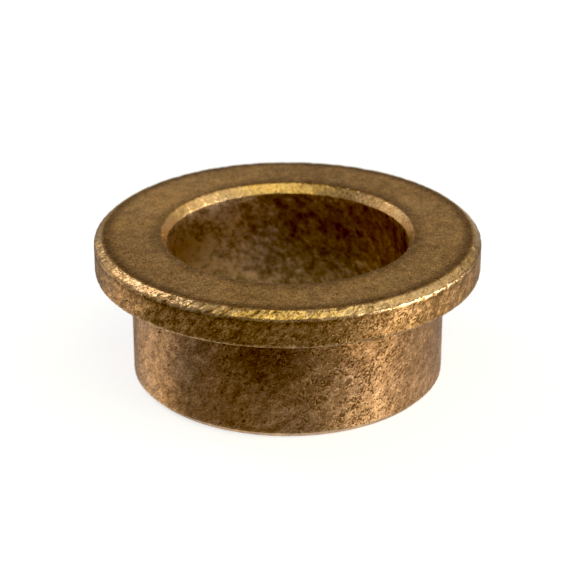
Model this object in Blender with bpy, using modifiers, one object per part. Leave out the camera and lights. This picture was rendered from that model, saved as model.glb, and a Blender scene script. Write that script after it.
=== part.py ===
"""Flanged sleeve bushing: one ring of sintered bronze, pressed to shape in a single die.

The part stands on its plain end with the flange on top. Units are metres and +Z is up. The origin is
on the bore's axis, at the centre of the plain end face. The whole shape is one profile turned about Z.
"""

import math

import bpy

# Driving dimensions
BORE_DIAMETER = 0.020
SLEEVE_DIAMETER = 0.026
FLANGE_DIAMETER = 0.032
FLANGE_THICKNESS = 0.003
OVERALL_LENGTH = 0.0125

# Edges at the flange end
RIM_CHAMFER_WIDTH = 0.0006
RIM_CHAMFER_DEPTH = 0.0005
LEAD_IN_WIDTH = 0.0005
LEAD_IN_DEPTH = 0.0008
FLANGE_BACK_RADIUS = 0.0002
ROOT_FILLET_RADIUS = 0.0003

# Edges at the plain end
SLEEVE_END_CHAMFER = 0.0005
BORE_END_CHAMFER = 0.0004

# Resolution
TURN_STEPS = 128
ARC_STEPS = 4
SHARP_EDGE_ANGLE = math.radians(30)

# Looks
BRONZE_COLOUR = (0.26, 0.155, 0.06, 1.0)
BRONZE_ROUGHNESS = 0.45

ASSEMBLY_NAME = "flanged_sleeve_bushing"


def clear_scene():
    for obj in list(bpy.data.objects):
        bpy.data.objects.remove(obj, do_unlink=True)


def make_material(name, colour, roughness):
    material = bpy.data.materials.new(name)
    material.use_nodes = True
    shader = material.node_tree.nodes["Principled BSDF"]
    shader.inputs["Base Color"].default_value = colour
    shader.inputs["Metallic"].default_value = 1.0
    shader.inputs["Roughness"].default_value = roughness
    return material


def arc(centre, radius, start_degrees, end_degrees):
    """Points on an arc in the (radius, height) plane, with both of its ends."""
    points = []
    for step in range(ARC_STEPS + 1):
        angle = math.radians(start_degrees + (end_degrees - start_degrees) * step / ARC_STEPS)
        points.append((centre[0] + radius * math.cos(angle), centre[1] + radius * math.sin(angle)))
    return points


def bushing_profile():
    """The half section as (radius, height) points: out along the top face, down the outside, up the bore."""
    bore = BORE_DIAMETER / 2
    sleeve = SLEEVE_DIAMETER / 2
    flange = FLANGE_DIAMETER / 2
    top = OVERALL_LENGTH
    flange_back = top - FLANGE_THICKNESS

    back_edge_centre = (flange - FLANGE_BACK_RADIUS, flange_back + FLANGE_BACK_RADIUS)
    root_centre = (sleeve + ROOT_FILLET_RADIUS, flange_back - ROOT_FILLET_RADIUS)

    flange_end = [
        (bore + LEAD_IN_WIDTH, top),
        (flange - RIM_CHAMFER_WIDTH, top),
        (flange, top - RIM_CHAMFER_DEPTH),
    ]
    back_edge = arc(back_edge_centre, FLANGE_BACK_RADIUS, 0, -90)
    root_fillet = arc(root_centre, ROOT_FILLET_RADIUS, 90, 180)
    plain_end = [
        (sleeve, SLEEVE_END_CHAMFER),
        (sleeve - SLEEVE_END_CHAMFER, 0),
        (bore + BORE_END_CHAMFER, 0),
        (bore, BORE_END_CHAMFER),
    ]
    bore_mouth = [(bore, top - LEAD_IN_DEPTH)]
    return flange_end + back_edge + root_fillet + plain_end + bore_mouth


def turned_mesh(name, profile):
    """Turns a closed profile about Z and returns the mesh, with its steps joined into one ring."""
    count = len(profile)
    outline = bpy.data.meshes.new(name + "_profile")
    outline.from_pydata(
        [(radius, 0, height) for radius, height in profile],
        [(index, (index + 1) % count) for index in range(count)],
        [],
    )
    turning = bpy.data.objects.new(name + "_profile", outline)
    bpy.context.scene.collection.objects.link(turning)

    screw = turning.modifiers.new("turn", "SCREW")
    screw.axis = "Z"
    screw.angle = math.tau
    screw.steps = TURN_STEPS
    screw.render_steps = TURN_STEPS
    screw.use_merge_vertices = True
    screw.merge_threshold = 0.00001

    graph = bpy.context.evaluated_depsgraph_get()
    mesh = bpy.data.meshes.new_from_object(turning.evaluated_get(graph))
    mesh.name = name
    bpy.data.objects.remove(turning, do_unlink=True)
    bpy.data.meshes.remove(outline)
    return mesh


def build_bushing(collection):
    mesh = turned_mesh("flanged_bushing", bushing_profile())
    mesh.shade_smooth()
    mesh.set_sharp_from_angle(angle=SHARP_EDGE_ANGLE)
    mesh.materials.clear()
    mesh.materials.append(make_material("sintered_bronze", BRONZE_COLOUR, BRONZE_ROUGHNESS))
    bushing = bpy.data.objects.new("flanged_bushing", mesh)
    collection.objects.link(bushing)
    return bushing


def main():
    clear_scene()
    assembly = bpy.data.collections.new(ASSEMBLY_NAME)
    bpy.context.scene.collection.children.link(assembly)
    build_bushing(assembly)


main()
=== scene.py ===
"""Looks for the flanged sleeve bushing: one piece of sintered bronze on a pale table, in soft studio light.

The bushing is turned again here from the CAD solid's own sizes, finely enough to carry real grain, worn
edges and hollows. Everything is in metres, in the CAD's frame: +Z is up along the bore's axis.
"""

import math
from types import SimpleNamespace

import bpy
import numpy as np
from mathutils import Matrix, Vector, noise


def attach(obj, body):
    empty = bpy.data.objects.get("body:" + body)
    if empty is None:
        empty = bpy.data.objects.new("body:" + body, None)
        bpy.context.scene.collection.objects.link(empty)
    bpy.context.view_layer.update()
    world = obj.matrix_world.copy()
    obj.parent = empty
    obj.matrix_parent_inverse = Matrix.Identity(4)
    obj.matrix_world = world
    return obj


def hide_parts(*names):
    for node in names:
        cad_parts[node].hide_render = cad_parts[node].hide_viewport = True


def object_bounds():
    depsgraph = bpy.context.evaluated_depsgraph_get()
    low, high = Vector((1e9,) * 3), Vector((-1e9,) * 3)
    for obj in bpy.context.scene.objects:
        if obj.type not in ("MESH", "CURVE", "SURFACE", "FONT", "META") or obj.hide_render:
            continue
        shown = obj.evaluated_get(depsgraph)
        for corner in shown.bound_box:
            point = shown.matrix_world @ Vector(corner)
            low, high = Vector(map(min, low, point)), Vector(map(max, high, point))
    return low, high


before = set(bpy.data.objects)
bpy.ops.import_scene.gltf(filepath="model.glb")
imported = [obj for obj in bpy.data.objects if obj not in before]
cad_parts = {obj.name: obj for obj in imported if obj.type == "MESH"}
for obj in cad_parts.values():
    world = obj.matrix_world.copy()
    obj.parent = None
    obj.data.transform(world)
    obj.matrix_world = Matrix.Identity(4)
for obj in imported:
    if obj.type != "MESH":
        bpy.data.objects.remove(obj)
cad_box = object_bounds()

MM = 0.001
NODE = "flanged_bushing"

# The turned mesh: columns round the axis, and steps round each rounded edge
COLUMNS = 512
ARC_STEPS = 3

# Edge radii that the CAD solid leaves sharp
SMALL_EDGE = 0.05 * MM
LEAD_IN_EDGE = 0.10 * MM
RIM_UPPER_EDGE = 0.20 * MM
RIM_LOWER_EDGE = 0.28 * MM

# Relief: the size of each pattern, and how strong the noise has to be before it makes a hollow
LUMP_SIZE = 2.2 * MM
GRAIN_SIZE = 0.5 * MM
FINE_GRAIN_SIZE = 0.3 * MM
PIT_SIZE = 0.34 * MM
PIT_START = 0.35
CHIP_SIZE = 0.45 * MM

# Where the pits and the chips are read from the noise, so that they don't follow the lumps and the grain
PIT_PLACE = Vector((31.0, 7.0, 3.0))
CHIP_PLACE = Vector((5.0, 17.0, 29.0))

# How far a pattern leans round the bushing for each unit that it climbs, how far a streak does, and how many
# times longer than wide a streak is
GRAIN_LEAN = 0.5
STREAK_LEAN = 1.4
STREAK_LENGTH = 3.5

# The dark rings that the press leaves on the face, beside the lead-in and inside the rim, and the band of
# painted shade just under the rim on the flange's side: how wide each is, and how dark beside its edge. Over
# 1, it is at its darkest for longer.
INNER_RING = (1.2 * MM, 0.75)
OUTER_RING = (1.0 * MM, 1.4)
RIM_PAINTED_SHADE = (0.5 * MM, 0.7)

# How dark the painted shade makes each skin where it is darkest
PAINTED_SHADE = {"sleeve": 1.0, "flange_side": 0.72, "bore": 0.4}

# Camera: elevation, distance in flange radii from the centre of the top face, lens, and the point aimed at
VIEW_ELEVATION = math.radians(23.36)
VIEW_DISTANCE_IN_RADII = 11.155
LENS_MM = 134.9
APERTURE_F = 75
AIM_ASIDE = 0.03 * MM
AIM_SHARE_OF_HEIGHT = 0.58

# The tone under which the picture is black
BLACK_LEVEL = 0.018


# -------------------------------- sizes, read off the CAD solid

def measure_section(node):
    """The half section's sizes, from the rings of vertices of the CAD solid."""
    rings = {(round(math.hypot(v.co.x, v.co.y), 6), round(v.co.z, 6)) for v in node.data.vertices}
    bottom = min(height for _, height in rings)
    top = max(height for _, height in rings)
    bore = min(radius for radius, _ in rings)
    flange = max(radius for radius, _ in rings)
    sleeve = max(radius for radius, height in rings if height < (bottom + top) / 2)
    flange_back = min(height for radius, height in rings if radius > (sleeve + flange) / 2)
    top_face = [radius for radius, height in rings if height == top]
    end_face = [radius for radius, height in rings if height == bottom]
    back_face = [radius for radius, height in rings if height == flange_back]
    bore_wall = [height for radius, height in rings if radius == bore]
    flange_side = [height for radius, height in rings if radius == flange]
    return SimpleNamespace(
        bore=bore,
        sleeve=sleeve,
        flange=flange,
        bottom=bottom,
        top=top,
        flange_back=flange_back,
        rim_chamfer_width=flange - max(top_face),
        rim_chamfer_depth=top - max(flange_side),
        lead_in_width=min(top_face) - bore,
        lead_in_depth=top - max(bore_wall),
        back_radius=flange - max(back_face),
        root_radius=min(back_face) - sleeve,
        sleeve_end_chamfer=sleeve - max(end_face),
        bore_end_chamfer=min(end_face) - bore,
    )


# -------------------------------- skins: how each stretch of the surface is worked

# What the mesh reads, as depths, and what the material reads: which colour, and how strong each pattern is
MESH_DEPTHS = ("grain", "lumps", "pits")
SHARES = ("face", "chamfer", "bore", "facets", "pores", "sharp", "soft", "fine", "streaks")


def skin(spacing, depths, **shares):
    """How a stretch of the surface is worked: the spacing of its rows, the depths of its relief, both in
    millimetres, and the shares that its material reads."""
    values = dict.fromkeys(MESH_DEPTHS + SHARES, 0.0)
    values.update((name, depth * MM) for name, depth in depths.items())
    values.update(shares)
    return SimpleNamespace(spacing=spacing * MM, values=values)


SKINS = {
    "face": skin(
        0.21, {"grain": 0.002, "lumps": 0.004},
        face=1, facets=0.08, sharp=0.4, soft=0.3, fine=1.3, pores=0.1,
    ),
    "rim": skin(
        0.085, {"grain": 0.012, "lumps": 0.006},
        chamfer=1, facets=0.48, sharp=0.3, soft=0.2, fine=0.9, streaks=1.4,
    ),
    "flange_side": skin(
        0.13, {"grain": 0.003, "lumps": 0.006, "pits": 0.02},
        face=0.5, facets=0.12, sharp=1.05, soft=0.3, fine=1.2, pores=1.0,
    ),
    "flange_back": skin(
        0.5, {"grain": 0.002, "lumps": 0.004},
        face=0.5, facets=0.1, sharp=0.6, soft=0.6,
    ),
    "sleeve": skin(
        0.22, {"grain": 0.003, "lumps": 0.006, "pits": 0.02},
        facets=0.12, sharp=0.75, soft=0.3, fine=0.7, pores=1.0,
    ),
    "end_chamfer": skin(
        0.12, {"grain": 0.005, "lumps": 0.005},
        chamfer=0.2, facets=0.2, sharp=0.5, soft=0.3,
    ),
    "end_face": skin(
        0.5, {"grain": 0.003, "lumps": 0.004},
        face=1, facets=0.1, sharp=0.3, soft=1.0, fine=0.5, pores=0.2,
    ),
    "bore": skin(
        0.5, {"grain": 0.002, "lumps": 0.006},
        bore=1, facets=0.05, sharp=0.9, soft=1.0, fine=0.5, pores=0.35,
    ),
    "lead_in": skin(
        0.1, {"grain": 0.012, "lumps": 0.004},
        chamfer=1, facets=0.25, sharp=0.35, soft=0.2, fine=1.6, streaks=0.4,
    ),
}


def mixed(first, second, share):
    """A skin's values, part of the way from one skin to the next."""
    return {name: first.values[name] * (1 - share) + second.values[name] * share for name in first.values}


# -------------------------------- the section, as rows with normals

def corner(radius, height, edge_radius, name, wear_and_highlight=0.0, chips=0.0):
    """A corner of the section: how it is rounded, the skin that follows it, how far its edge is lightened for
    wear and as a painted highlight, and how deep it is chipped, in millimetres."""
    return SimpleNamespace(
        radius=radius, height=height, edge_radius=edge_radius, skin=name, wear_and_highlight=wear_and_highlight, chips=chips * MM
    )


def section_corners(size):
    """The corners from the top face out and down, and up the bore."""
    rim_foot = size.top - size.rim_chamfer_depth
    sleeve_end = size.bottom + size.sleeve_end_chamfer
    # Each edge is lightened partly for wear and partly as a painted highlight where it catches the light
    return [
        corner(size.bore + size.lead_in_width, size.top, LEAD_IN_EDGE, "face", chips=0.10),
        corner(size.flange - size.rim_chamfer_width, size.top, RIM_UPPER_EDGE, "rim", chips=0.12),
        corner(size.flange, rim_foot, RIM_LOWER_EDGE, "flange_side", wear_and_highlight=0.6, chips=0.10),
        corner(size.flange, size.flange_back, size.back_radius, "flange_back", wear_and_highlight=0.3, chips=0.05),
        corner(size.sleeve, size.flange_back, size.root_radius, "sleeve"),
        corner(size.sleeve, sleeve_end, SMALL_EDGE, "end_chamfer", wear_and_highlight=0.45, chips=0.05),
        corner(size.sleeve - size.sleeve_end_chamfer, size.bottom, SMALL_EDGE, "end_face"),
        corner(size.bore + size.bore_end_chamfer, size.bottom, SMALL_EDGE, "end_chamfer"),
        corner(size.bore, size.bottom + size.bore_end_chamfer, SMALL_EDGE, "bore"),
        corner(size.bore, size.top - size.lead_in_depth, LEAD_IN_EDGE, "lead_in", chips=0.06),
    ]


def heading(here, ahead):
    """The way from one corner to the next: a run outward and a rise, one unit long together."""
    run, rise = ahead.radius - here.radius, ahead.height - here.height
    length = math.hypot(run, rise)
    return run / length, rise / length


def turned(way, angle):
    """A heading turned to the left."""
    return (
        way[0] * math.cos(angle) - way[1] * math.sin(angle),
        way[0] * math.sin(angle) + way[1] * math.cos(angle),
    )


def turn_between(before, after):
    """The angle from one heading to the next, positive to the left."""
    across = before[0] * after[1] - before[1] * after[0]
    along = before[0] * after[0] + before[1] * after[1]
    return math.atan2(across, along)


def band_depth(ring, away):
    """How dark a press ring, or the band of painted shade under the rim, is this far from the edge that it
    follows, up to 1.
    """
    width, darkest = ring
    return min(1.0, darkest * max(0.0, 1 - away / width))


def ring_and_shade_share(name, from_start, from_end):
    """How dark the press rings, and the band of painted shade under the rim, make a row of a straight
    stretch.
    """
    if name == "face":
        return max(band_depth(INNER_RING, from_start), band_depth(OUTER_RING, from_end))
    # The flange's side gets the band of painted shade just under the rim
    if name == "flange_side":
        return band_depth(RIM_PAINTED_SHADE, from_start)
    return 0.0


def painted_shade_share(name, height, size):
    """How dark the painted shade makes a row: the sleeve and the bore darken up toward the flange from their
    plain end, and the flange's side is dark all round."""
    climb = (height - size.bottom) / (size.flange_back - size.bottom)
    return PAINTED_SHADE.get(name, 0.0) * min(1.0, climb)


def edge_rows(here, previous, before, turn, setback, size):
    """Rows round a rounded edge, from the skin before it to its own. The edge where the face starts lies in
    the inner ring, and every other edge stays bright."""
    side = math.copysign(1, turn)
    start = (here.radius - before[0] * setback, here.height - before[1] * setback)
    centre = (start[0] - before[1] * here.edge_radius * side, start[1] + before[0] * here.edge_radius * side)
    ring = band_depth(INNER_RING, 0.0) if here.skin == "face" else 0.0
    rows = []
    for step in range(ARC_STEPS + 1):
        share = step / ARC_STEPS
        way = turned(before, turn * share)
        normal = (-way[1], way[0])
        rows.append(
            SimpleNamespace(
                radius=centre[0] - normal[0] * here.edge_radius * side,
                height=centre[1] - normal[1] * here.edge_radius * side,
                normal=normal,
                edge=here.wear_and_highlight,
                chips=here.chips,
                ring=ring,
                painted_shade=painted_shade_share(here.skin, here.height, size),
                **mixed(SKINS[previous.skin], SKINS[here.skin], share),
            )
        )
    return rows


def stretch_rows(here, ahead, setback, next_setback, size):
    """Rows along the straight stretch between two rounded edges."""
    own = SKINS[here.skin]
    way = heading(here, ahead)
    length = math.hypot(ahead.radius - here.radius, ahead.height - here.height) - setback - next_setback
    spans = max(1, round(length / own.spacing))
    rows = []
    for step in range(1, spans):
        gone = length * step / spans
        height = here.height + way[1] * (setback + gone)
        rows.append(
            SimpleNamespace(
                radius=here.radius + way[0] * (setback + gone),
                height=height,
                normal=(-way[1], way[0]),
                edge=0.0,
                chips=0.0,
                ring=ring_and_shade_share(here.skin, gone, length - gone),
                painted_shade=painted_shade_share(here.skin, height, size),
                **own.values,
            )
        )
    return rows


def section_rows(size):
    """Rows once round the section: place, outward normal, relief and shares. The loop runs clockwise, so
    outward is to the left of the way it runs."""
    corners = section_corners(size)
    following = corners[1:] + corners[:1]
    headings = [heading(here, ahead) for here, ahead in zip(corners, following)]
    turns = [turn_between(headings[i - 1], headings[i]) for i in range(len(corners))]
    setbacks = [here.edge_radius * math.tan(abs(turn) / 2) for here, turn in zip(corners, turns)]
    next_setbacks = setbacks[1:] + setbacks[:1]
    rows = []
    for i, here in enumerate(corners):
        rows += edge_rows(here, corners[i - 1], headings[i - 1], turns[i], setbacks[i], size)
        rows += stretch_rows(here, following[i], setbacks[i], next_setbacks[i], size)
    return rows


# -------------------------------- relief and mesh

def relief(point, row):
    """How far a point of the surface stands out along its normal, in metres."""
    broad = noise.noise(point / LUMP_SIZE)
    grain = noise.noise(point / GRAIN_SIZE) + 0.5 * noise.noise(point / FINE_GRAIN_SIZE)
    depth = row.lumps * broad + row.grain * grain
    if row.pits:
        hollow = noise.noise(point / PIT_SIZE + PIT_PLACE)
        depth -= row.pits * max(0.0, hollow - PIT_START)
    if row.chips:
        chip = noise.noise(point / CHIP_SIZE + CHIP_PLACE)
        depth -= row.chips * max(0.0, chip)
    return depth


def slanted(radius, angle, height, size):
    """A point of the pattern's own space, twisted about the axis so that the pattern leans as it climbs."""
    twisted = angle - GRAIN_LEAN * height / size.sleeve
    return Vector((radius * math.cos(twisted), radius * math.sin(twisted), height))


def build_bushing(size):
    """The rows turned about the axis into one closed mesh, which carries the shares for the material."""
    rows = section_rows(size)
    angles = [math.tau * column / COLUMNS for column in range(COLUMNS)]
    verts = np.empty((len(rows), COLUMNS, 3))
    for i, row in enumerate(rows):
        for j, angle in enumerate(angles):
            out = relief(slanted(row.radius, angle, row.height, size), row)
            radius = row.radius + row.normal[0] * out
            height = row.height + row.normal[1] * out
            verts[i, j] = (radius * math.cos(angle), radius * math.sin(angle), height)
    index = np.arange(len(rows) * COLUMNS).reshape(len(rows), COLUMNS)
    below, beside = np.roll(index, -1, axis=0), np.roll(index, -1, axis=1)
    both = np.roll(below, -1, axis=1)
    faces = np.stack([index, below, both, beside], axis=-1).reshape(-1, 4)

    mesh = bpy.data.meshes.new("bushing")
    mesh.from_pydata(verts.reshape(-1, 3).tolist(), [], faces.tolist())
    for name in SHARES + ("edge", "ring", "painted_shade"):
        values = np.repeat([getattr(row, name) for row in rows], COLUMNS)
        attribute = mesh.attributes.new(name, "FLOAT", "POINT")
        attribute.data.foreach_set("value", values.astype(np.float32))
    mesh.shade_smooth()
    bushing = bpy.data.objects.new("bushing", mesh)
    bpy.context.scene.collection.objects.link(bushing)
    return bushing


# -------------------------------- nodes, written as sums and products

class Value:
    """What a node puts out. Sums, differences and products of it are nodes too."""

    def __init__(self, graph, socket):
        self.graph = graph
        self.socket = socket

    def __add__(self, other):
        return self.graph.maths("ADD", self, other)

    def __sub__(self, other):
        return self.graph.maths("SUBTRACT", self, other)

    def __rsub__(self, other):
        return self.graph.maths("SUBTRACT", other, self)

    def __mul__(self, other):
        return self.graph.maths("MULTIPLY", self, other)


class Graph:
    """Short calls for a material's nodes. What is passed in is a Value, a number or a tuple."""

    def __init__(self, tree):
        self.tree = tree

    def feed(self, node, inputs):
        """Gives a node's inputs, by name or by number, what they read."""
        for name, given in inputs.items():
            if isinstance(given, Value):
                self.tree.links.new(given.socket, node.inputs[name])
            else:
                node.inputs[name].default_value = given

    def value(self, kind, inputs, output, **settings):
        """One output of a new node."""
        node = self.tree.nodes.new(kind)
        for name, setting in settings.items():
            setattr(node, name, setting)
        self.feed(node, inputs)
        return Value(self, node.outputs[output])

    def maths(self, operation, first, second=0.0, clamp=False):
        return self.value("ShaderNodeMath", {0: first, 1: second}, 0, operation=operation, use_clamp=clamp)

    def vectors(self, operation, first, second=(0.0, 0.0, 0.0)):
        return self.value("ShaderNodeVectorMath", {0: first, 1: second}, 0, operation=operation)

    def scaled(self, vector, scale):
        return self.value("ShaderNodeVectorMath", {0: vector, "Scale": scale}, 0, operation="SCALE")

    def distance(self, first, second):
        return self.value("ShaderNodeVectorMath", {0: first, 1: second}, "Value", operation="DISTANCE")

    def place(self):
        """The point that is shaded, in the object's own space."""
        return self.value("ShaderNodeTexCoord", {}, "Object")

    def share(self, name):
        """What the mesh says here of one of the shares."""
        return self.value("ShaderNodeAttribute", {}, "Fac", attribute_name=name)

    def remap(self, value, low, high, to_low=0.0, to_high=1.0):
        """A smooth step from to_low to to_high as the value goes from low to high."""
        inputs = {"Value": value, "From Min": low, "From Max": high, "To Min": to_low, "To Max": to_high}
        return self.value("ShaderNodeMapRange", inputs, "Result", interpolation_type="SMOOTHSTEP")

    def noise(self, place, size, detail, roughness, output="Fac"):
        inputs = {"Vector": place, "Scale": 1 / size, "Detail": detail, "Roughness": roughness}
        return self.value("ShaderNodeTexNoise", inputs, output)

    def cells(self, place, size):
        """A random colour for each cell."""
        return self.value("ShaderNodeTexVoronoi", {"Vector": place, "Scale": 1 / size}, "Color")

    def blend(self, share, first, second, mode="MIX"):
        inputs = {"Factor": share, "A": first, "B": second}
        return self.value("ShaderNodeMix", inputs, "Result", data_type="RGBA", blend_type=mode)


# -------------------------------- patterns that the bronze is made of, and painted light and shade

# The tone is the natural logarithm of brightness. How far the dark press rings, with the band of painted
# shade under the rim, and the painted shade toward the flange lower it, and its upper limit on the walls and
# on the chamfers, which are bright already
RING_AND_SHADE_TONE = -0.8
PAINTED_SHADE_TONE = -0.45
BRIGHTEST_WALL = 0.5
BRIGHTEST_CHAMFER = 0.14

# How strong the rim's streaks are away from its front, and how much of its changes of hue the face has lost
PLAIN_STREAKS = 0.25
FACE_EVENNESS = 0.45


def twisted_space(graph, size, lean):
    """Object space twisted about the axis, so that a pattern leans as it climbs."""
    height = graph.value("ShaderNodeSeparateXYZ", {0: graph.place()}, "Z")
    inputs = {"Vector": graph.place(), "Angle": height * (-lean / size.sleeve)}
    return graph.value("ShaderNodeVectorRotate", inputs, "Vector", rotation_type="Z_AXIS")


def streak_space(graph, size):
    """A twisted space that doesn't change with the radius and is drawn out along the axis."""
    twisted = twisted_space(graph, size, STREAK_LEAN)
    around = graph.vectors("NORMALIZE", graph.vectors("MULTIPLY", twisted, (1.0, 1.0, 0.0)))
    along = graph.vectors("MULTIPLY", twisted, (0.0, 0.0, 1 / STREAK_LENGTH))
    return graph.vectors("ADD", graph.scaled(around, size.sleeve), along)


def centred(graph, colour):
    """A random colour as a random direction, about zero."""
    return graph.vectors("SUBTRACT", colour, (0.5, 0.5, 0.5))


def ragged_space(graph, place, size, reach):
    """The place, shifted about by noise, so that what is drawn there has ragged outlines."""
    shift = centred(graph, graph.noise(place, size, detail=1, roughness=0.5, output="Color"))
    return graph.vectors("ADD", place, graph.scaled(shift, reach))


def swing(graph, place, size, reach, detail=1, roughness=0.5):
    """Noise about zero, in the natural logarithm of brightness."""
    return (graph.noise(place, size, detail, roughness) - 0.5) * reach


def soft_patch(graph, radius, height, azimuth, reach, strength):
    """A soft-edged patch that is darker or lighter than the rest, in the natural logarithm of brightness. Its
    azimuth is in degrees, 0 on the camera's side."""
    turn = math.radians(azimuth)
    centre = (radius * math.sin(turn), -radius * math.cos(turn), height)
    return graph.remap(graph.distance(graph.place(), centre), 0.0, reach, strength, 0.0)


def open_pores(graph, size, place):
    """Depth of the open pores, 0 to 1. They are small and ragged, and crowd together in patches: more of them
    at the front right, and fewer at the front left."""
    spots = graph.noise(place, 0.21 * MM, detail=2.5, roughness=0.6)
    crowding = swing(graph, place, 1.1 * MM, reach=0.3)
    crowding += soft_patch(graph, size.sleeve, 6 * MM, azimuth=22, reach=13 * MM, strength=0.08)
    crowding += soft_patch(graph, size.sleeve, 5 * MM, azimuth=-45, reach=14 * MM, strength=-0.04)
    return graph.remap(spots + crowding, low=0.59, high=0.65)


def painted_light_and_shade(graph, size):
    """Patches of painted light and shade: painted shade on the bore's far side, painted light on the bore's
    left where it reflects the lit table inside, painted shade on the sleeve's front under the flange, and the
    face darker at its left."""
    return (
        soft_patch(graph, size.bore, 7 * MM, azimuth=160, reach=9 * MM, strength=-0.7),
        soft_patch(graph, size.bore, 7 * MM, azimuth=-118, reach=10 * MM, strength=0.8),
        soft_patch(graph, size.sleeve, 7 * MM, azimuth=-8, reach=4.5 * MM, strength=-0.6),
        soft_patch(graph, size.flange - 2.5 * MM, size.top, azimuth=-70, reach=9 * MM, strength=-0.14),
    )


def mottling(graph, place):
    """Patches of several sizes, each as strong as the skin's shares say."""
    sharp = swing(graph, place, 0.9 * MM, reach=4.0, detail=3, roughness=0.95)
    soft = swing(graph, place, 1.3 * MM, reach=2.2, detail=3, roughness=0.75)
    fine = swing(graph, place, 0.14 * MM, reach=2.0, roughness=0.8)
    return sharp * graph.share("sharp") + soft * graph.share("soft") + fine * graph.share("fine")


def streaks(graph, size):
    """Leaning streaks on the chamfers, which are strongest on the rim's front."""
    streak = swing(graph, streak_space(graph, size), 0.24 * MM, reach=2.8) * graph.share("streaks")
    front = soft_patch(graph, size.flange, size.top, azimuth=-10, reach=14 * MM, strength=1.1)
    return streak * (front + PLAIN_STREAKS)


def tone_of_the_grain(graph, size, place):
    """How bright each grain is, as a natural logarithm: broad clouds, mottling, streaks, dark press rings,
    painted shade and patches of painted light and shade, up to a limit."""
    tone = swing(graph, graph.place(), 5 * MM, reach=0.5)
    tone += mottling(graph, place)
    tone += streaks(graph, size)
    # The press rings with the painted shade under the rim, then the painted shade toward the flange
    tone += graph.share("ring") * RING_AND_SHADE_TONE
    tone += graph.share("painted_shade") * PAINTED_SHADE_TONE
    # Patches of painted light and shade
    for patch in painted_light_and_shade(graph, size):
        tone += patch
    brightest = BRIGHTEST_WALL - graph.share("chamfer") * (BRIGHTEST_WALL - BRIGHTEST_CHAMFER)
    return graph.maths("MINIMUM", tone, brightest)


def hue_of_the_grain(graph, place):
    """How rosy or golden each grain is. The face is more even than the walls."""
    hue = swing(graph, graph.place(), 6 * MM, reach=0.7)
    hue += swing(graph, place, 0.5 * MM, reach=0.9, detail=3, roughness=0.8)
    return hue * (1.0 - graph.share("face") * FACE_EVENNESS)


# -------------------------------- the bronze

def rgb(red, green, blue):
    return (red, green, blue, 1.0)


WALL_COLOUR = rgb(0.61, 0.347, 0.166)
FACE_COLOUR = rgb(0.63, 0.35, 0.118)
CHAMFER_COLOUR = rgb(0.89, 0.57, 0.275)
# Edges: lighter for wear, and as a painted highlight where they catch the light
WEAR_AND_HIGHLIGHT_COLOUR = rgb(0.95, 0.64, 0.34)
BORE_COLOUR = rgb(0.57, 0.39, 0.25)
PORE_COLOUR = rgb(0.12, 0.06, 0.025)
PORE_STRENGTH = 0.78

# How fast each channel follows the tone: dark grains are redder and richer, bright ones paler
TONE_RATES = {"Red": 0.96, "Green": 1.04, "Blue": 1.12}

# How fast each channel follows the hue, which wanders between rosy and golden bronze
HUE_RATES = {"Red": 0.0, "Green": 0.25, "Blue": 1.0}

# The pressed grains' facets, coarse and fine: their size, and how far they tilt the surface
FACETS = ((0.24 * MM, 0.55), (0.15 * MM, 0.5))
FACET_OUTLINE_SIZE = 0.25 * MM
FACET_OUTLINE_REACH = 0.12 * MM

# How much of its facets a worn edge has lost
FACETS_WORN_OFF = 0.6

# The bump that is finer than the mesh
BUMP_GRAIN_SIZE = 0.12 * MM
BUMP_DEPTH = 0.03 * MM
BUMP_STRENGTH = 0.5

# Roughness of the plain metal, how much smoother the facets and a worn edge are, and how much rougher a pore
PLAIN_ROUGHNESS = 0.38
FACET_GLOSS = 0.22
WORN_GLOSS = 0.18
PORE_ROUGHNESS = 0.3


def toned(graph, colour, tone, hue):
    """The colour made brighter or darker by the tone and rosier or more golden by the hue, each channel at
    its own rates."""
    factors = {
        channel: graph.maths("EXPONENT", tone * TONE_RATES[channel] + hue * HUE_RATES[channel])
        for channel in TONE_RATES
    }
    return graph.blend(1.0, colour, graph.value("ShaderNodeCombineColor", factors, "Color"), mode="MULTIPLY")


def bronze_colour(graph, size, place, pores):
    """The skin's colour, toned grain by grain with painted light and shade among the tones, lighter on edges
    for wear and as a painted highlight, and dark in the pores.
    """
    colour = graph.blend(graph.share("face"), WALL_COLOUR, FACE_COLOUR)
    colour = graph.blend(graph.share("chamfer"), colour, CHAMFER_COLOUR)
    colour = graph.blend(graph.share("bore"), colour, BORE_COLOUR)
    # Edges lightened for wear and as a painted highlight
    colour = graph.blend(graph.share("edge"), colour, WEAR_AND_HIGHLIGHT_COLOUR)
    colour = toned(graph, colour, tone_of_the_grain(graph, size, place), hue_of_the_grain(graph, place))
    return graph.blend(pores * PORE_STRENGTH, colour, PORE_COLOUR)


def bronze_roughness(graph, pores):
    """Facets and worn edges are smoother than the plain metal, and pores are rougher."""
    faceted = PLAIN_ROUGHNESS - graph.share("facets") * FACET_GLOSS
    wear_and_highlight = PLAIN_ROUGHNESS - graph.share("edge") * WORN_GLOSS
    return graph.maths("ADD", graph.maths("MINIMUM", faceted, wear_and_highlight), pores * PORE_ROUGHNESS, clamp=True)


def faceted_normal(graph, place):
    """The surface's normal, tilted by one random lean for each pressed grain. Worn edges are less faceted."""
    ragged = ragged_space(graph, place, FACET_OUTLINE_SIZE, FACET_OUTLINE_REACH)
    normal = graph.value("ShaderNodeNewGeometry", {}, "Normal")
    share = graph.share("facets") * (1.0 - graph.share("edge") * FACETS_WORN_OFF)
    for size, reach in FACETS:
        lean = centred(graph, graph.cells(ragged, size))
        normal = graph.vectors("ADD", normal, graph.scaled(lean, share * reach))
    return graph.vectors("NORMALIZE", normal)


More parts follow.
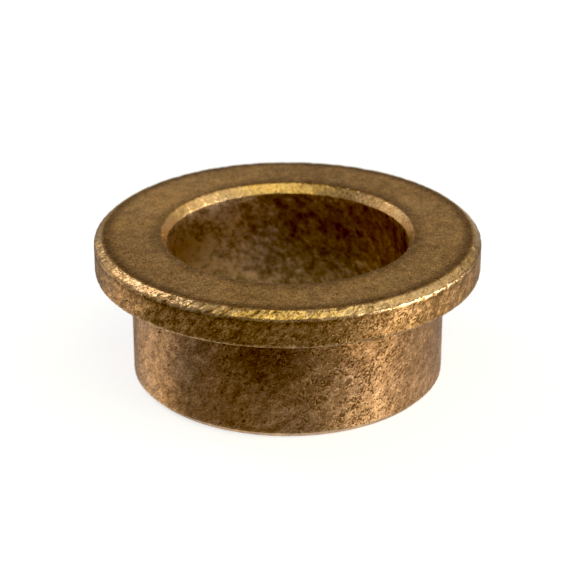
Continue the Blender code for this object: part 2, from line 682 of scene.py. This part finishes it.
def bronze_normal(graph, place, pores):
    """The facets, with the finest grain and the pores as bump on them."""
    grain = graph.noise(place, BUMP_GRAIN_SIZE, detail=2, roughness=0.5) * 0.5
    inputs = {
        "Strength": BUMP_STRENGTH,
        "Distance": BUMP_DEPTH,
        "Height": grain - pores,
        "Normal": faceted_normal(graph, place),
    }
    return graph.value("ShaderNodeBump", inputs, "Normal")


def bronze_material(size):
    """Sintered bronze: a metal whose colour, roughness and normal change from grain to grain."""
    material = bpy.data.materials.new("sintered_bronze_skin")
    material.use_nodes = True
    graph = Graph(material.node_tree)
    place = twisted_space(graph, size, GRAIN_LEAN)
    pores = graph.maths("MULTIPLY", open_pores(graph, size, place), graph.share("pores"), clamp=True)
    inputs = {
        "Base Color": bronze_colour(graph, size, place, pores),
        "Metallic": 1.0,
        "Roughness": bronze_roughness(graph, pores),
        "Normal": bronze_normal(graph, place, pores),
    }
    graph.feed(graph.tree.nodes["Principled BSDF"], inputs)
    return material


# -------------------------------- table

TABLE_WIDTH = 4.0
TABLE_GREY = 0.75

# The table's glow is a little cool, which makes up for the warm lights on it
TABLE_GLOW = 0.7
TABLE_GLOW_COLOUR = rgb(0.92, 0.95, 1.0)

# The patch inside the bore: grey, glow, height over the table, and how much of the chamfer it reaches under
PATCH_GREY = 0.9
PATCH_GLOW = 0.02
PATCH_HEIGHT = 0.02 * MM
PATCH_REACH = 0.8


def table_material(name, grey, glow):
    """Matt grey that glows."""
    material = bpy.data.materials.new(name)
    material.use_nodes = True
    graph = Graph(material.node_tree)
    inputs = {
        "Base Color": rgb(grey, grey, grey),
        "Roughness": 0.9,
        "Specular IOR Level": 0.0,
        "Emission Color": TABLE_GLOW_COLOUR,
        "Emission Strength": glow,
    }
    graph.feed(graph.tree.nodes["Principled BSDF"], inputs)
    return material


def build_table():
    """A white table that glows a little, as one does that is lit through from below. It lights no metal, and
    casts no shadow, as some of the lights stand under it."""
    bpy.ops.mesh.primitive_plane_add(size=TABLE_WIDTH, location=(0, 0, cad_box[0].z))
    table = bpy.context.object
    table.name = "table"
    table.data.materials.append(table_material("pale_table", TABLE_GREY, TABLE_GLOW))
    table.visible_glossy = False
    table.visible_shadow = False


def build_patch_in_bore(size):
    """The part of the table that the bore's walls reflect. Only light from above, through the bore, falls on
    it."""
    bpy.ops.mesh.primitive_circle_add(
        vertices=64,
        fill_type="NGON",
        radius=size.bore + PATCH_REACH * size.bore_end_chamfer,
        location=(0, 0, cad_box[0].z + PATCH_HEIGHT),
    )
    patch = bpy.context.object
    patch.name = "table_inside_bore"
    patch.data.materials.append(table_material("shaded_table", PATCH_GREY, PATCH_GLOW))


# -------------------------------- lights

LAMP_DISTANCE = 0.4

# What the background shows the camera, and what it lights the bushing with
BACKDROP_GREY = 0.93
STUDIO_GREY = 0.23


def softbox(name, toward, span, radiance, tint=(1.0, 1.0, 1.0)):
    """A rectangular light that faces the bushing. It stands toward an azimuth and an elevation, and spans a
    width and a height, all in degrees as seen from the bushing. Azimuth 0 is on the camera's side, 90 on the
    +X side."""
    azimuth, elevation = map(math.radians, toward)
    wide, tall = map(math.radians, span)
    light = bpy.data.lights.new(name, "AREA")
    light.shape = "RECTANGLE"
    light.size = 2 * LAMP_DISTANCE * math.tan(wide / 2)
    light.size_y = 2 * LAMP_DISTANCE * math.tan(tall / 2)
    light.energy = radiance * math.pi * light.size * light.size_y
    light.color = tint
    lamp = bpy.data.objects.new(name, light)
    level = math.cos(elevation)
    away = Vector((math.sin(azimuth) * level, -math.cos(azimuth) * level, math.sin(elevation)))
    centre = (cad_box[0] + cad_box[1]) / 2
    lamp.location = centre + away * LAMP_DISTANCE
    lamp.rotation_euler = away.to_track_quat("Z", "Y").to_euler()
    bpy.context.scene.collection.objects.link(lamp)


def build_lights():
    """Soft boxes all round. The low ones stand in for the light that a real table throws up at the walls."""
    softbox("right_window", toward=(76, 3), span=(50, 16), radiance=10.2, tint=(1.0, 0.965, 0.83))
    softbox("right_low", toward=(64, -20), span=(37, 22), radiance=1.6, tint=(1.0, 0.98, 0.9))
    softbox("right_back", toward=(118, -20), span=(30, 24), radiance=0.35)
    softbox("right_high", toward=(104, 42), span=(60, 44), radiance=0.38, tint=(1.0, 0.93, 0.62))
    softbox("left_window", toward=(-116, -19), span=(38, 34), radiance=0.8, tint=(1.0, 0.93, 0.77))
    softbox("left_middle", toward=(-112, 20), span=(64, 26), radiance=0.46, tint=(1.0, 0.95, 0.82))
    softbox("left_high", toward=(-117, 42), span=(25, 21), radiance=2.2, tint=(1.0, 0.94, 0.94))
    softbox("overhead_front", toward=(8, 53), span=(56, 52), radiance=0.9, tint=(1.0, 0.98, 0.43))
    softbox("right_top", toward=(58, 52), span=(30, 24), radiance=0.3)
    softbox("behind", toward=(180, 24), span=(60, 22), radiance=0.15)
    softbox("behind_low", toward=(168, -14), span=(28, 30), radiance=0.36)
    softbox("below", toward=(180, -72), span=(80, 44), radiance=0.55)


def build_world():
    """A pale background, which lights the bushing less than it shows."""
    world = bpy.data.worlds.new("studio")
    world.use_nodes = True
    graph = Graph(world.node_tree)
    seen = graph.value("ShaderNodeLightPath", {}, "Is Camera Ray")
    lighting = rgb(STUDIO_GREY, STUDIO_GREY, STUDIO_GREY)
    backdrop = rgb(BACKDROP_GREY, BACKDROP_GREY, BACKDROP_GREY)
    graph.feed(graph.tree.nodes["Background"], {"Color": graph.blend(seen, lighting, backdrop)})
    bpy.context.scene.world = world


# -------------------------------- camera and view

def build_camera(size):
    """A long lens, focused on the front of the sleeve."""
    data = bpy.data.cameras.new("camera")
    data.lens = LENS_MM
    data.clip_start = 10 * MM
    camera = bpy.data.objects.new("camera", data)
    top_centre = Vector((0, 0, size.top))
    away = Vector((0, -math.cos(VIEW_ELEVATION), math.sin(VIEW_ELEVATION)))
    camera.location = top_centre + away * VIEW_DISTANCE_IN_RADII * size.flange
    aim = Vector((AIM_ASIDE, 0, AIM_SHARE_OF_HEIGHT * size.top))
    camera.rotation_euler = (camera.location - aim).to_track_quat("Z", "Y").to_euler()
    front_of_sleeve = Vector((0, -size.sleeve, size.top / 2))
    data.dof.use_dof = True
    data.dof.focus_distance = (camera.location - front_of_sleeve).length
    data.dof.aperture_fstop = APERTURE_F
    bpy.context.scene.collection.objects.link(camera)
    bpy.context.scene.camera = camera


def build_view():
    """A plain view, with the deep blacks of a product photograph."""
    view = bpy.context.scene.view_settings
    view.view_transform = "Standard"
    view.use_curve_mapping = True
    view.curve_mapping.black_level = (BLACK_LEVEL, BLACK_LEVEL, BLACK_LEVEL)
    view.curve_mapping.update()


# -------------------------------- the scene

size = measure_section(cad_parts[NODE])
bushing = build_bushing(size)
bushing.data.materials.append(bronze_material(size))
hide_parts(NODE)
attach(bushing, "root")
build_table()
build_patch_in_bore(size)
build_lights()
build_world()
build_camera(size)
build_view()
